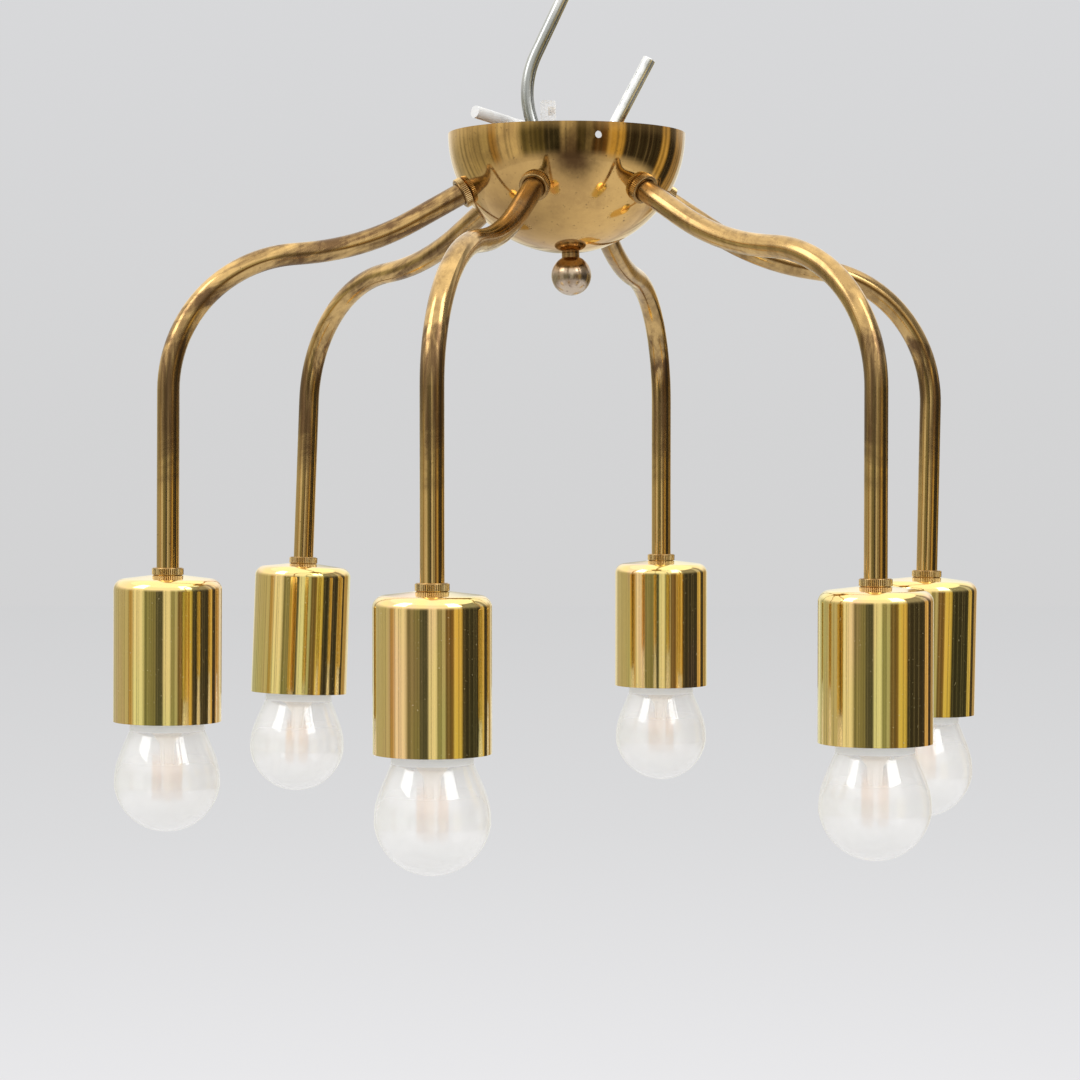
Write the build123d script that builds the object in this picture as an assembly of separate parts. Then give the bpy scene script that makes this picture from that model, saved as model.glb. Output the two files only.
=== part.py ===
from build123d import *
import math
import os

# Six-armed brass ceiling lamp that hangs on a bent steel hook.
# The origin is the centre of the bowl's rim, +Z is up, and the front arm points to -Y.
# Driving dimensions, in millimetres and degrees.

# Fits between pieces
THREAD_GAP = 0.05
SEAT_GAP = 0.02
HOLE_GAP = 0.2
RUN_GAP = 0.3
BLIND_END_GAP = 0.5
NUT_ROOM = 0.5
LEAD_GAP = 0.8

# Bowl, a spun hemisphere that is open towards the ceiling
BOWL_RADIUS = 54.5
BOWL_WALL = 1.0
SIDE_HOLE_RADIUS = 1.6
SIDE_HOLE_BELOW_RIM = 5.8
SIDE_HOLE_AZIMUTHS = (-75.4, 104.6)

# Arms, bent from round tube with a lamp thread on both ends
ARM_RADIUS = 5.0
ARM_WALL = 1.0
ARM_ANGLE = 30.0
ARM_FIRST_RUN = 28.0
ARM_REVERSE_BEND = 125.0
ARM_CREST_SLOPE = 6.0
ARM_CREST_RUN = 6.0
ARM_MAIN_BEND = 62.0
ARM_DROP = 79.0
ARM_THREAD_OVER_NUT = 2.0
# Azimuth, downward tilt about the bowl's centre, and twist about its own thread, of each arm as it stands
ARM_SETTINGS = (
    (-107.7, 0.0, 0.0),
    (-45.7, 0.0, 0.0),
    (15.0, 1.1, 0.0),
    (73.75, 0.0, 0.0),
    (134.8, 0.0, 3.2),
    (-165.7, -0.4, 0.0),
)

# Knurled ring nuts, one against the bowl and one on each cup, and the hexagon lock nuts inside the bowl
RING_NUT_RADIUS = 7.0
RING_NUT_HEIGHT = 3.5
RING_NUT_EDGE = 0.35
RING_NUT_COUNTERSINK = 0.7
LOCK_NUT_FLATS = 14.0
LOCK_NUT_HEIGHT = 3.0

# Cups, deep drawn with a round shoulder and a plain lip
CUP_RADIUS = 24.0
CUP_WALL = 0.8
CUP_HEIGHT = 65.0
CUP_SHOULDER = 5.0
CUP_CROWN = 2.0
CUP_SEAT_RADIUS = 8.0
CUP_SEAT_BLEND = 6.0

# Lampholders for a 27 mm Edison cap, screwed to the arm below the cup's top
HOLDER_RADIUS = 19.5
HOLDER_NECK_INSET = 1.0
HOLDER_NECK_HEIGHT = 4.0
HOLDER_CONE_HEIGHT = 8.0
HOLDER_MOUTH_ABOVE_LIP = 8.0
HOLDER_THREAD_DEPTH = 9.0
HOLDER_BEAD = 1.2
SHELL_WALL = 0.4
SHELL_ABOVE_MOUTH = 2.0
SHELL_BELOW_FLOOR = 2.6
CONTACT_RADIUS = 4.0
CONTACT_THICKNESS = 0.8

# Bulbs, a golf ball of opal glass on a white collar
CAP_RADIUS = 13.1
CAP_HEIGHT = 21.0
CAP_CONE_HEIGHT = 3.0
CAP_TOP_RADIUS = 7.0
TIP_RADIUS = 4.5
TIP_HEIGHT = 1.5
TIP_EDGE = 0.6
COLLAR_RADIUS = 16.6
COLLAR_ABOVE_LIP = 6.0
COLLAR_BELOW_LIP = 4.0
COLLAR_EDGE = 1.5
GLASS_RADIUS = 23.8
GLASS_WALL = 1.0
GLASS_NECK_TAPER = 23.5

# Finial and the stud that clamps the hanger bracket to the bowl
STUD_RADIUS = 3.0
STUD_OVER_NUT = 1.5
STUD_NUT_FLATS = 10.0
STUD_NUT_HEIGHT = 5.0
FINIAL_RADIUS = 9.2
FINIAL_NECK_RADIUS = 4.1
FINIAL_NECK_HEIGHT = 2.0
FINIAL_BORE_DEPTH = 12.0

# Hanger bracket with its cross pin, and the lean of all that the stud holds, about the bowl's centre
HANGER_LEAN = -1.9
BRACKET_WIDTH = 14.0
BRACKET_STRIP = 2.5
BRACKET_BEND = 2.5
BRACKET_LEG_OVER_PIN = 8.0
PIN_RADIUS = 3.0
PIN_HEAD_RADIUS = 4.5
PIN_HEAD_HEIGHT = 1.8
PIN_HEAD_EDGE = 0.6

# Hook, bent from round steel wire, the same at both ends
HOOK_WIRE_RADIUS = 3.0
HOOK_BIGHT_BEND = 8.0
HOOK_SIDE_BEND = 41.0
HOOK_MID_HEIGHT = 67.8
HOOK_FREE_END = (37.5, 34.7)
HOOK_BIGHT_CORNER = (-1.65, -40.0)
HOOK_SIDE_CORNER = (-21.7, 21.9)
HOOK_END_EDGE = 0.4

# Wiring: a lead in each arm, the loom that gathers them, the terminal block and the supply cable
LOOM_INSET = 7.5
LOOM_RISE = 10.0
LOOM_THICKNESS = 5.2
BRANCH_THICKNESS = 4.0
BRANCH_BEND = 4.0
BRANCH_RUN = 7.0
RISER_BEND = 6.0
TERMINAL_CENTRE = (-8.5, 15.0)
TERMINAL_SIZE = (7.2, 16.0, 16.0)
TERMINAL_FOOT = 0.5
TERMINAL_CORNER = 1.2
TERMINAL_GROOVE = 1.2
TERMINAL_PITCH = 8.0
TERMINAL_SCREW_RADIUS = 1.6
TERMINAL_SCREW_LENGTH = 3.0
TERMINAL_SCREW_RECESS = 0.6
TERMINAL_SCREW_FROM_END = 4.0
CABLE_RADIUS = 2.9
CABLE_ROUTE = (
    (-12.12, 18.0, 5.2),
    (-20.5, 18.0, 5.2),
    (-31.0, 11.0, 8.3),
    (-42.2, 1.0, 10.6),
)
CABLE_BEND_SHARE = 0.45

ARM_COUNT = len(ARM_SETTINGS)
hanger_place = Rot(0, HANGER_LEAN, 0)
ROUND_BASE = (Align.CENTER, Align.CENTER, Align.MIN)


def turned(*edges):
    """Solid of revolution about Z from a closed outline, given as radius and height."""
    return revolve(Plane.XZ * make_face(edges), Axis.Z)


def turned_polygon(*points):
    return turned(*Polyline(*points, close=True).edges())


def tube_along(path, radius):
    """Round bar whose centre line is the path."""
    return sweep(Plane(path @ 0, z_dir=path % 0) * Circle(radius), path=path)


def hexagon_nut(across_flats, height, bore_radius):
    blank = extrude(RegularPolygon(across_flats / 2, 6, major_radius=False), height)
    return blank - Cylinder(bore_radius, height, align=ROUND_BASE)


def arm_place(index):
    """Turns a piece that is drawn in the XZ plane into the place of one arm."""
    azimuth, tilt, twist = ARM_SETTINGS[index]
    twist_about_thread = Rot(0, ARM_ANGLE, 0) * Rot(twist, 0, 0) * Rot(0, -ARM_ANGLE, 0)
    return Rot(0, 0, azimuth) * Rot(0, tilt, 0) * twist_about_thread


def port_place(index):
    """Frame at the bowl's centre whose Z runs out along the thread of one arm."""
    return arm_place(index) * Rot(0, 90 + ARM_ANGLE, 0)


def each_arm(piece, place):
    """The same piece on every arm, as one group of separate solids."""
    return Compound(children=[place(index) * piece for index in range(ARM_COUNT)])


# Seats along an arm's thread, as distances from the bowl's centre
arm_hole_radius = ARM_RADIUS + HOLE_GAP
arm_thread_radius = ARM_RADIUS + THREAD_GAP
lead_radius = ARM_RADIUS - ARM_WALL - LEAD_GAP
bowl_inside = BOWL_RADIUS - BOWL_WALL
ring_nut_seat = math.sqrt(BOWL_RADIUS**2 - arm_hole_radius**2) + SEAT_GAP
lock_nut_corner = LOCK_NUT_FLATS / math.sqrt(3)
lock_nut_seat = math.sqrt(bowl_inside**2 - lock_nut_corner**2) - SEAT_GAP
arm_inner_end = lock_nut_seat - LOCK_NUT_HEIGHT - ARM_THREAD_OVER_NUT

# Centre line of an arm in the XZ plane: out along the thread, a reverse bend, the crest and the drop
arm_slope = math.radians(ARM_ANGLE)
thread_line = Vector(math.cos(arm_slope), -math.sin(arm_slope))
arm_tail = RING_NUT_HEIGHT + CUP_WALL + HOLDER_THREAD_DEPTH
first_run = Line(thread_line * arm_inner_end, thread_line * (BOWL_RADIUS + ARM_FIRST_RUN))
reverse_bend = JernArc(first_run @ 1, first_run % 1, ARM_REVERSE_BEND, ARM_ANGLE - ARM_CREST_SLOPE)
crest = Line(reverse_bend @ 1, reverse_bend @ 1 + (reverse_bend % 1) * ARM_CREST_RUN)
main_bend = JernArc(crest @ 1, crest % 1, ARM_MAIN_BEND, ARM_CREST_SLOPE - 90)
drop = Line(main_bend @ 1, main_bend @ 1 - Vector(0, ARM_DROP + arm_tail))
arm_line = Plane.XZ * Wire([first_run, reverse_bend, crest, main_bend, drop])

# A lamp head is drawn with its origin on top of the cup, at the underside of the ring nut there
head_point = main_bend @ 1 - Vector(0, ARM_DROP + RING_NUT_HEIGHT)


def head_place(index):
    return arm_place(index) * Pos(head_point.X, 0, head_point.Y)


def make_bowl():
    outside = CenterArc((0, 0), BOWL_RADIUS, 0, -90)
    inside = CenterArc((0, 0), bowl_inside, -90, 90)
    bowl = turned(outside, Line(outside @ 1, inside @ 0), inside, Line(inside @ 1, outside @ 0))
    bowl -= hanger_place * Cylinder(STUD_RADIUS + HOLE_GAP, 2 * BOWL_RADIUS + 2 * BOWL_WALL)
    for index in range(ARM_COUNT):
        bowl -= port_place(index) * Cylinder(arm_hole_radius, 2 * BOWL_RADIUS, align=ROUND_BASE)
    for azimuth in SIDE_HOLE_AZIMUTHS:
        drill = Cylinder(SIDE_HOLE_RADIUS, 2 * BOWL_RADIUS, align=ROUND_BASE)
        bowl -= Pos(0, 0, -SIDE_HOLE_BELOW_RIM) * Rot(0, 0, azimuth) * Rot(0, 90, 0) * drill
    return bowl


def make_ring_nut():
    """Ring nut with its flat seat at the bottom and a countersunk bore at the top."""
    low = RING_NUT_EDGE
    high = RING_NUT_HEIGHT - RING_NUT_EDGE
    return turned_polygon(
        (arm_thread_radius, 0),
        (RING_NUT_RADIUS - RING_NUT_EDGE, 0),
        (RING_NUT_RADIUS, low),
        (RING_NUT_RADIUS, high),
        (RING_NUT_RADIUS - RING_NUT_EDGE, RING_NUT_HEIGHT),
        (arm_thread_radius + RING_NUT_COUNTERSINK, RING_NUT_HEIGHT),
        (arm_thread_radius, RING_NUT_HEIGHT - RING_NUT_COUNTERSINK),
    )


def make_arm():
    return tube_along(arm_line, ARM_RADIUS) - tube_along(arm_line, ARM_RADIUS - ARM_WALL)


def make_cup():
    def wall_line(inset, depth):
        side = CUP_RADIUS - inset
        return FilletPolyline(
            (arm_hole_radius, -depth),
            (CUP_SEAT_RADIUS, -depth),
            (side, -CUP_CROWN - depth),
            (side, -CUP_HEIGHT),
            radius=[CUP_SEAT_BLEND, CUP_SHOULDER - inset],
        )

    outside = wall_line(0, 0)
    inside = wall_line(CUP_WALL, CUP_WALL)
    lip = Line(outside @ 1, inside @ 1)
    hole = Line(outside @ 0, inside @ 0)
    return turned(*outside.edges(), lip, *inside.edges(), hole)


# Heights in a lamp head, counted down from the top of the cup
holder_top = -CUP_WALL
holder_neck = CUP_SEAT_RADIUS - HOLDER_NECK_INSET
holder_mouth = HOLDER_MOUTH_ABOVE_LIP - CUP_HEIGHT
collar_top = COLLAR_ABOVE_LIP - CUP_HEIGHT
collar_bottom = -COLLAR_BELOW_LIP - CUP_HEIGHT
cap_top = collar_top + CAP_HEIGHT
tip_top = cap_top + SEAT_GAP + TIP_HEIGHT
contact_foot = tip_top + RUN_GAP
holder_floor = contact_foot + CONTACT_THICKNESS
shell_inside = CAP_RADIUS + RUN_GAP
shell_outside = shell_inside + SHELL_WALL
holder_bore = shell_outside + THREAD_GAP


def make_holder():
    """Moulded holder: threaded neck, cone, skirt with a bead round its mouth, and the bore for the shell."""
    cone_foot = holder_top - HOLDER_NECK_HEIGHT - HOLDER_CONE_HEIGHT
    thread_end = holder_top - HOLDER_THREAD_DEPTH - BLIND_END_GAP
    return turned_polygon(
        (0, thread_end),
        (arm_thread_radius, thread_end),
        (arm_thread_radius, holder_top),
        (holder_neck, holder_top),
        (holder_neck, holder_top - HOLDER_NECK_HEIGHT),
        (HOLDER_RADIUS - HOLDER_BEAD, cone_foot),
        (HOLDER_RADIUS - HOLDER_BEAD, holder_mouth + 3 * HOLDER_BEAD),
        (HOLDER_RADIUS, holder_mouth + 2 * HOLDER_BEAD),
        (HOLDER_RADIUS, holder_mouth),
        (holder_bore, holder_mouth),
        (holder_bore, holder_floor),
        (0, holder_floor),
    )


def make_shell():
    foot = holder_mouth + SHELL_ABOVE_MOUTH
    height = holder_floor - SHELL_BELOW_FLOOR - foot
    ring = Cylinder(shell_outside, height, align=ROUND_BASE)
    ring -= Cylinder(shell_inside, height, align=ROUND_BASE)
    return Pos(0, 0, foot) * ring


def make_contact():
    return Pos(0, 0, contact_foot) * Cylinder(CONTACT_RADIUS, CONTACT_THICKNESS, align=ROUND_BASE)


def make_cap():
    """Screw cap with the insulating cone on top of it."""
    shoulder = cap_top - CAP_CONE_HEIGHT
    return turned_polygon(
        (0, collar_top),
        (CAP_RADIUS, collar_top),
        (CAP_RADIUS, shoulder),
        (CAP_TOP_RADIUS, cap_top),
        (0, cap_top),
    )


def make_tip():
    foot = cap_top + SEAT_GAP
    return turned_polygon(
        (0, foot),
        (TIP_RADIUS, foot),
        (TIP_RADIUS, tip_top - TIP_EDGE),
        (TIP_RADIUS - TIP_EDGE, tip_top),
        (0, tip_top),
    )


def make_collar():
    return turned_polygon(
        (0, collar_bottom),
        (COLLAR_RADIUS, collar_bottom),
        (COLLAR_RADIUS, collar_top - COLLAR_EDGE),
        (COLLAR_RADIUS - COLLAR_EDGE, collar_top),
        (0, collar_top),
    )


def make_glass():
    """Blown glass: a ball that runs on, tangent, into the cone of its neck."""
    taper = math.radians(GLASS_NECK_TAPER)
    neck_length = (GLASS_RADIUS * math.cos(taper) - COLLAR_RADIUS) / math.sin(taper)
    centre = collar_bottom - GLASS_RADIUS * math.sin(taper) - neck_length * math.cos(taper)

    def skin(radius, neck_radius):
        ball = CenterArc((0, centre), radius, -90, 90 + GLASS_NECK_TAPER)
        neck = Line(ball @ 1, (neck_radius, collar_bottom))
        return ball, neck

    outer_ball, outer_neck = skin(GLASS_RADIUS, COLLAR_RADIUS)
    inner_neck_radius = COLLAR_RADIUS - GLASS_WALL / math.cos(taper)
    inner_ball, inner_neck = skin(GLASS_RADIUS - GLASS_WALL, inner_neck_radius)
    mouth = Line(outer_neck @ 1, inner_neck @ 1)
    pole = Line(outer_ball @ 0, inner_ball @ 0)
    return turned(outer_ball, outer_neck, mouth, inner_neck, inner_ball, pole)


# Corners of the hook's lower half, set so that the bend that carries the lamp lies under the cross pin
def bend_centre(before, corner, after, bend):
    """Centre of the round bend between two straight runs."""
    back = (Vector(*before) - Vector(*corner)).normalized()
    onward = (Vector(*after) - Vector(*corner)).normalized()
    half_angle = math.radians(back.get_angle(onward)) / 2
    return Vector(*corner) + (back + onward).normalized() * (bend / math.sin(half_angle))


hook_bight = bend_centre(HOOK_FREE_END, HOOK_BIGHT_CORNER, HOOK_SIDE_CORNER, HOOK_BIGHT_BEND)
pin_drop = hook_bight.Y - (HOOK_BIGHT_BEND - HOOK_WIRE_RADIUS) + RUN_GAP + PIN_RADIUS
pin_height = pin_drop / math.cos(math.radians(HANGER_LEAN))
pin_aside = pin_drop * math.tan(math.radians(HANGER_LEAN))
hook_corners = (HOOK_FREE_END, HOOK_BIGHT_CORNER, HOOK_SIDE_CORNER)
hook_lower = [(x - hook_bight.X + pin_aside, z) for x, z in hook_corners]

# The bracket's base rests on the inside of the bowl at the corners of its flat
bracket_half_span = STUD_NUT_FLATS / 2 + NUT_ROOM + BRACKET_BEND + BRACKET_STRIP
bracket_flat = bracket_half_span - BRACKET_BEND - BRACKET_STRIP
bracket_foot = -math.sqrt(bowl_inside**2 - (BRACKET_WIDTH / 2) ** 2 - bracket_flat**2) + SEAT_GAP
bracket_base_top = bracket_foot + BRACKET_STRIP


def make_bracket():
    """Strip bent to a U, drilled for the stud in its base and for the pin in both legs."""
    leg_top = pin_height + BRACKET_LEG_OVER_PIN

    def bent_line(inset, bend):
        half = bracket_half_span - inset
        return FilletPolyline(
            (half, leg_top),
            (half, bracket_foot + inset),
            (-half, bracket_foot + inset),
            (-half, leg_top),
            radius=[bend, bend],
        )

    outer = bent_line(0, BRACKET_BEND + BRACKET_STRIP)
    inner = bent_line(BRACKET_STRIP, BRACKET_BEND)
    ends = [Line(outer @ 0, inner @ 0), Line(outer @ 1, inner @ 1)]
    outline = make_face([*outer.edges(), *inner.edges(), *ends])
    bracket = extrude(Plane.YZ * outline, BRACKET_WIDTH / 2, both=True)
    bracket -= Cylinder(STUD_RADIUS + HOLE_GAP, 2 * BOWL_RADIUS)
    return bracket - pin_line * Cylinder(PIN_RADIUS + THREAD_GAP, 2 * BOWL_RADIUS)


pin_line = Pos(0, 0, pin_height) * Rot(90, 0, 0)


def make_pin():
    """Cross pin with a rivet head outside each leg."""
    shank_half = bracket_half_span + SEAT_GAP
    pin = Cylinder(PIN_RADIUS, 2 * shank_half)
    head = Cylinder(PIN_HEAD_RADIUS, PIN_HEAD_HEIGHT, align=ROUND_BASE)
    head = chamfer(head.faces().sort_by(Axis.Z)[-1].edges(), PIN_HEAD_EDGE)
    pin += Pos(0, 0, shank_half) * head
    pin += Pos(0, 0, -shank_half) * Rot(180, 0, 0) * head
    return pin_line * pin


finial_top = -math.sqrt(BOWL_RADIUS**2 - (STUD_RADIUS + HOLE_GAP) ** 2) - SEAT_GAP
finial_centre = (
    finial_top - FINIAL_NECK_HEIGHT - math.sqrt(FINIAL_RADIUS**2 - FINIAL_NECK_RADIUS**2)
)


def make_finial():
    """Turned ball on a short neck, with a blind thread for the stud."""
    finial = Pos(0, 0, finial_centre) * Sphere(FINIAL_RADIUS)
    neck = Cylinder(FINIAL_NECK_RADIUS, finial_top - finial_centre, align=ROUND_BASE)
    finial += Pos(0, 0, finial_centre) * neck
    bore = Cylinder(STUD_RADIUS + THREAD_GAP, FINIAL_BORE_DEPTH, align=ROUND_BASE)
    return finial - Pos(0, 0, finial_top - FINIAL_BORE_DEPTH) * bore


def make_stud():
    top = bracket_base_top + STUD_NUT_HEIGHT + STUD_OVER_NUT
    foot = finial_top - FINIAL_BORE_DEPTH + BLIND_END_GAP
    return Pos(0, 0, foot) * Cylinder(STUD_RADIUS, top - foot, align=ROUND_BASE)


def make_stud_nut():
    return Pos(0, 0, bracket_base_top) * hexagon_nut(STUD_NUT_FLATS, STUD_NUT_HEIGHT, STUD_RADIUS + THREAD_GAP)


def make_hook():
    """S-shaped hook: each half is the other turned half round about the middle of the shank."""
    upper = [(2 * pin_aside - x, 2 * HOOK_MID_HEIGHT - z) for x, z in reversed(hook_lower)]
    bends = [HOOK_BIGHT_BEND, HOOK_SIDE_BEND, HOOK_SIDE_BEND, HOOK_BIGHT_BEND]
    line = Plane.XZ * FilletPolyline(*hook_lower, *upper, radius=bends)
    hook = tube_along(line, HOOK_WIRE_RADIUS)
    cut_ends = hook.faces().filter_by(GeomType.PLANE)
    return chamfer(cut_ends.edges(), HOOK_END_EDGE)


def make_loom():
    """Sleeved leads: a ring inside the bowl, a branch to each arm and a riser to the terminal block."""
    first, last = ARM_SETTINGS[1][0], ARM_SETTINGS[0][0] + 360
    arm_end = thread_line * arm_inner_end
    loom_radius = arm_end.X - LOOM_INSET
    loom_height = arm_end.Y + LOOM_RISE
    ring_line = Pos(0, 0, loom_height) * CenterArc((0, 0), loom_radius, first, last - first)
    loom = tube_along(ring_line, LOOM_THICKNESS / 2)
    start = thread_line * (arm_inner_end - SEAT_GAP)
    knee = thread_line * (arm_inner_end - SEAT_GAP - BRANCH_RUN)
    branch_line = Plane.XZ * FilletPolyline(start, knee, (loom_radius, loom_height), radius=BRANCH_BEND)
    branch = tube_along(branch_line, BRANCH_THICKNESS / 2)
    for index in range(ARM_COUNT):
        loom += arm_place(index) * branch
    x, y = TERMINAL_CENTRE
    ring_y = math.sqrt(loom_radius**2 - x**2)
    riser_line = Pos(x, 0, 0) * (
        Plane.YZ
        * FilletPolyline(
            (ring_y, loom_height),
            (y, loom_height + RISER_BEND / 2),
            (y, TERMINAL_FOOT - SEAT_GAP),
            radius=RISER_BEND,
        )
    )
    return loom + tube_along(riser_line, LOOM_THICKNESS / 2)


def terminal_screw_places():
    """Two clamp screws to each pole, on the side that faces +X."""
    x, y = TERMINAL_CENTRE
    side = x + TERMINAL_SIZE[0] / 2
    low = TERMINAL_FOOT + TERMINAL_SCREW_FROM_END
    high = TERMINAL_FOOT + TERMINAL_SIZE[2] - TERMINAL_SCREW_FROM_END
    return [
        Pos(side, y + turn * TERMINAL_PITCH / 2, z) * Rot(0, -90, 0)
        for turn in (-1, 1)
        for z in (low, high)
    ]


def make_terminal_block():
    x, y = TERMINAL_CENTRE
    block = Box(*TERMINAL_SIZE, align=ROUND_BASE)
    block = fillet(block.edges().filter_by(Axis.Y), TERMINAL_CORNER)
    groove = Box(TERMINAL_SIZE[0], TERMINAL_GROOVE, TERMINAL_SIZE[2], align=ROUND_BASE)
    for end in (-1, 1):
        block -= Pos(end * (TERMINAL_SIZE[0] - TERMINAL_GROOVE), 0, 0) * groove
    block = Pos(x, y, TERMINAL_FOOT) * block
    depth = TERMINAL_SCREW_RECESS + TERMINAL_SCREW_LENGTH
    for place in terminal_screw_places():
        block -= place * Cylinder(TERMINAL_SCREW_RADIUS + THREAD_GAP, depth, align=ROUND_BASE)
    return block


def make_terminal_screws():
    screw = Pos(0, 0, TERMINAL_SCREW_RECESS) * Cylinder(
        TERMINAL_SCREW_RADIUS, TERMINAL_SCREW_LENGTH, align=ROUND_BASE
    )
    return Compound(children=[place * screw for place in terminal_screw_places()])


def make_cable():
    points = [Vector(*point) for point in CABLE_ROUTE]
    bends = []
    for before, corner, after in zip(points, points[1:], points[2:]):
        half_turn = math.radians((corner - before).get_angle(after - corner)) / 2
        shorter = min((corner - before).length, (after - corner).length)
        bends.append(CABLE_BEND_SHARE * shorter / math.tan(half_turn))
    return tube_along(FilletPolyline(*points, radius=bends), CABLE_RADIUS)


ring_nut = make_ring_nut()
lock_nut = hexagon_nut(LOCK_NUT_FLATS, LOCK_NUT_HEIGHT, arm_thread_radius)

nodes = {
    "hanging_hook": make_hook(),
    "hanger_pin": hanger_place * make_pin(),
    "hanger_bracket": hanger_place * make_bracket(),
    "centre_stud": hanger_place * make_stud(),
    "stud_nut": hanger_place * make_stud_nut(),
    "finial_ball": hanger_place * make_finial(),
    "bowl": make_bowl(),
    "arm_ring_nuts": each_arm(Pos(0, 0, ring_nut_seat) * ring_nut, port_place),
    "arm_lock_nuts": each_arm(Pos(0, 0, lock_nut_seat - LOCK_NUT_HEIGHT) * lock_nut, port_place),
    "cup_collar_nuts": each_arm(ring_nut, head_place),
    "lampholder_shells": each_arm(make_shell(), head_place),
    "lampholder_contacts": each_arm(make_contact(), head_place),
    "arm_leads": each_arm(tube_along(arm_line, lead_radius), arm_place),
    "lead_loom": make_loom(),
    "terminal_block": make_terminal_block(),
    "terminal_screws": make_terminal_screws(),
    "supply_cable": make_cable(),
}
pieces_of_each_arm = {
    "arm_tube": (make_arm(), arm_place),
    "socket_cup": (make_cup(), head_place),
    "lampholder": (make_holder(), head_place),
    "bulb_glass": (make_glass(), head_place),
    "bulb_collar": (make_collar(), head_place),
    "bulb_cap": (make_cap(), head_place),
    "bulb_tip": (make_tip(), head_place),
}
for index in range(ARM_COUNT):
    for piece_name, (piece, place) in pieces_of_each_arm.items():
        nodes[f"{piece_name}_{index + 1}"] = place(index) * piece

os.makedirs("parts", exist_ok=True)
for node, solid in nodes.items():
    export_step(solid, f"parts/{node}.step")
print(len(nodes), "nodes, cup top at", head_point, "pin at", round(pin_aside, 3), round(pin_drop, 3))
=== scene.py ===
import math

import bmesh
import bpy
from mathutils import Matrix, Vector


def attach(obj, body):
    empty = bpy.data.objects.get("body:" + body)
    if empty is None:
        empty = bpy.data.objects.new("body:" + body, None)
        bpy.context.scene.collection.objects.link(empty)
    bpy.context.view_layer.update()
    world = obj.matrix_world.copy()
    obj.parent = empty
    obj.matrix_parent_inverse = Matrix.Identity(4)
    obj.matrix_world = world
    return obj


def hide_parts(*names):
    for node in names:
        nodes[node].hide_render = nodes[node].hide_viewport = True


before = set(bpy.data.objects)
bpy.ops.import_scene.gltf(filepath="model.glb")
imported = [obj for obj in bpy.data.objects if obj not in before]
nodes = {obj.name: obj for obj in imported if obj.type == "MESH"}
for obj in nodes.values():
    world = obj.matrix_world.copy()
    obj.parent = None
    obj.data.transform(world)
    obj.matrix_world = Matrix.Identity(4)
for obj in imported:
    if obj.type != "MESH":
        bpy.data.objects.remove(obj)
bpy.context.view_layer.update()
scene = bpy.context.scene
scene.view_settings.view_transform = "Standard"


# Camera: a long lens at the height of the arms, level with the lamp and looking a little down,
# so that the rim of the bowl closes to a line and the hook runs out of the picture.
CAMERA_DIP = 1.63
camera = bpy.data.objects.new("camera", bpy.data.cameras.new("camera"))
camera.data.lens = 95.58
camera.data.sensor_width = 36.0
camera.location = (-0.01224, -1.322, -0.14874)
camera.rotation_euler = (math.radians(90 - CAMERA_DIP), 0, 0)
scene.collection.objects.link(camera)
scene.camera = camera


# Supply cable: a round white sheathed cable from the terminal block to where it was cut off.
# It is extruded plastic, smooth and a little greasy from handling.
class Value:
    """An output of a node; arithmetic on it adds Math nodes."""

    def __init__(self, finish, socket):
        self.finish = finish
        self.socket = socket

    def math(self, operation, first, second=0.0):
        return self.finish.node("ShaderNodeMath", {"operation": operation}, {0: first, 1: second})

    def __add__(self, other):
        return self.math("ADD", self, other)

    def __sub__(self, other):
        return self.math("SUBTRACT", self, other)

    def __rsub__(self, other):
        return self.math("SUBTRACT", other, self)

    def __mul__(self, other):
        return self.math("MULTIPLY", self, other)

    def __truediv__(self, other):
        return self.math("DIVIDE", self, other)

    def __rtruediv__(self, other):
        return self.math("DIVIDE", other, self)

    def __pow__(self, other):
        return self.math("POWER", self, other)

    __radd__ = __add__
    __rmul__ = __mul__


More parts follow.
